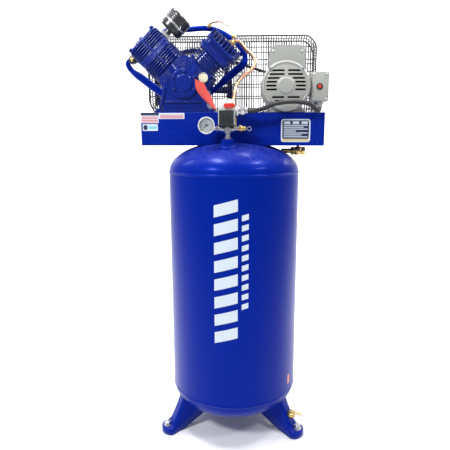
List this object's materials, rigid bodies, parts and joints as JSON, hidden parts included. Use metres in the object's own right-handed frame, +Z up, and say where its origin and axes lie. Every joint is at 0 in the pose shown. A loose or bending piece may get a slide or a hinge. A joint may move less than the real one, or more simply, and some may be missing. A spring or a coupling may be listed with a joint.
{
  "type": "vertical tank compressor",
  "caption": "Upright air receiver on three legs with a belt-driven V-twin pump, electric motor, wire belt guard and pressure controls.",
  "frame": {"origin": "middle of the footprint of the whole object, on the floor", "axes": "+X to the right seen from the gauge side, +Y to the belt guard, +Z up"},
  "size_m": [0.8088, 0.599, 1.7049],
  "materials": {
    "blue_paint": "glossy royal blue enamel with light orange peel",
    "grey_paint": "satin light grey enamel",
    "bare_steel": "zinc-plated or machined steel",
    "cast_iron": "dark cast iron",
    "brass": "turned brass",
    "copper": "drawn copper tube, slightly dulled",
    "aluminium": "machined aluminium",
    "black_plastic": "black moulded plastic",
    "black_metal": "black powder-coated steel",
    "rubber": "wrapped V-belt rubber",
    "conduit": "dark grey flexible conduit jacket",
    "grey_plastic": "light grey moulded cover",
    "red_plastic": "red moulded plastic or dipped handle",
    "cream_plastic": "cream moulded plastic",
    "gauge_white": "white gauge case and dial",
    "clear_lens": "clear polycarbonate lens",
    "filter_felt": "pleated filter paper"
  },
  "bodies": {
    "root": {"motor_front_bell": "grey_paint", "tank_top_head": "blue_paint", "intercooler": "blue_paint", "tank_bottom_head": "blue_paint", "crankcase": "blue_paint", "cylinder_low": "blue_paint", "cylinder_high": "blue_paint", "motor_rear_bell": "grey_paint", "discharge_tube": "copper", "filter_base": "black_metal", "manifold": "bare_steel", "guard_basket": "black_metal", "guard_front": "black_metal", "bearing_cover": "blue_paint", "power_cable": "conduit", "drive_belt": "rubber", "outlet_valve_body": "brass", "rod_high": "aluminium", "top_boss": "blue_paint", "rod_low": "aluminium", "head_high": "blue_paint", "leg_right": "blue_paint", "filter_cover": "black_metal", "gauge_case": "gauge_white", "terminal_box": "grey_paint", "tank_shell": "blue_paint", "leg_left": "blue_paint", "leg_rear": "blue_paint", "safety_valve": "brass", "head_low": "blue_paint", "drain_pipe": "cast_iron", "motor_frame": "grey_paint", "motor_stator": "cast_iron", "piston_low": "aluminium", "piston_high": "aluminium", "filter_element": "filter_felt", "drain_valve_body": "brass", "capacitor_box": "grey_paint", "switch_cover": "grey_plastic", "valve_plate_low": "blue_paint", "valve_plate_high": "blue_paint", "gauge_lens": "clear_lens", "motor_base": "grey_paint", "oil_filler_cap": "cream_plastic", "platform": "blue_paint", "check_valve": "brass", "switch_connector": "bare_steel", "crank_pin": "bare_steel", "switch_base": "black_plastic"},
    "crank_assembly": {"crankshaft_front": "bare_steel", "crankshaft_rear": "bare_steel", "flywheel": "blue_paint"},
    "motor_rotor_assembly": {"motor_rotor": "bare_steel", "motor_pulley": "cast_iron"},
    "pressure_switch_lever": {"switch_lever": "red_plastic"},
    "gauge_pointer": {"gauge_needle": "black_plastic"},
    "safety_valve_ring": {"safety_ring": "bare_steel"},
    "drain_handle": {"drain_valve_handle": "brass"},
    "outlet_lever": {"outlet_valve_lever": "red_plastic"},
    "motor_reset_button": {"reset_button": "red_plastic"}
  },
  "joints": [
    {"name": "crank_spin", "type": "hinge", "parent": "root", "child": "crank_assembly", "pos_m": [-0.13862, 0.1695, 1.421], "axis": [0, 1, 0], "continuous": true},
    {"name": "motor_spin", "type": "hinge", "parent": "root", "child": "motor_rotor_assembly", "pos_m": [0.24538, 0.1695, 1.406], "axis": [0, 1, 0], "continuous": true},
    {"name": "switch_lever_turn", "type": "hinge", "parent": "root", "child": "pressure_switch_lever", "pos_m": [0.02738, -0.2125, 1.332], "axis": [0, -1, 0], "range_deg": [0, 60]},
    {"name": "gauge_needle_turn", "type": "hinge", "parent": "root", "child": "gauge_pointer", "pos_m": [-0.04562, -0.199, 1.262], "axis": [0, 1, 0], "range_deg": [0, 270], "stiffness_Nm_per_rad": 0.0008},
    {"name": "safety_ring_pull", "type": "slide", "parent": "root", "child": "safety_valve_ring", "axis": [1, 0, 0], "range_m": [0, 0.005], "stiffness_N_per_m": 400},
    {"name": "drain_handle_turn", "type": "hinge", "parent": "root", "child": "drain_handle", "pos_m": [0.29593, -0.181, 0.097], "axis": [0, 0, 1], "range_deg": [0, 90]},
    {"name": "outlet_lever_turn", "type": "hinge", "parent": "root", "child": "outlet_lever", "pos_m": [0.30438, -0.0375, 1.187], "axis": [0, 0, 1], "range_deg": [0, 90]},
    {"name": "reset_button_press", "type": "slide", "parent": "root", "child": "motor_reset_button", "axis": [0, 1, 0], "range_m": [0, 0.003], "stiffness_N_per_m": 400}
  ],
  "couplings": [
    {"joint": "motor_spin", "follows": "crank_spin", "ratio": 2.6613}
  ]
}
